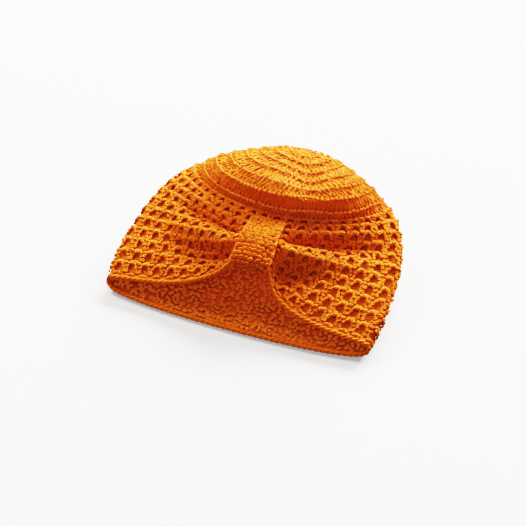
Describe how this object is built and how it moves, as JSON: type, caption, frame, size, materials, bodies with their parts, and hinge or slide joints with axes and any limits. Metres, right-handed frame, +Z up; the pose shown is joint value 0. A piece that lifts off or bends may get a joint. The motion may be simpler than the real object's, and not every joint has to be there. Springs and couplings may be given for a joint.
{
  "type": "crochet turban hat",
  "caption": "Soft crochet turban hat lying on its back: rounded crown, open head hollow, corded rim and a short front band that gathers the front into folds.",
  "frame": {"origin": "a point on the flat back of the hat where it rests, midway between the sides and near the middle from rim to crown", "axes": "+X across the hat to its right as seen from the rim, +Y from the rim to the crown, +Z up from the surface it lies on to the front band"},
  "size_m": [0.198, 0.1567, 0.0679],
  "materials": {
    "orange_yarn": "matte crochet cotton yarn"
  },
  "bodies": {
    "root": {"cap": "orange_yarn", "rim_edging": "orange_yarn", "front_band": "orange_yarn"}
  },
  "joints": []
}
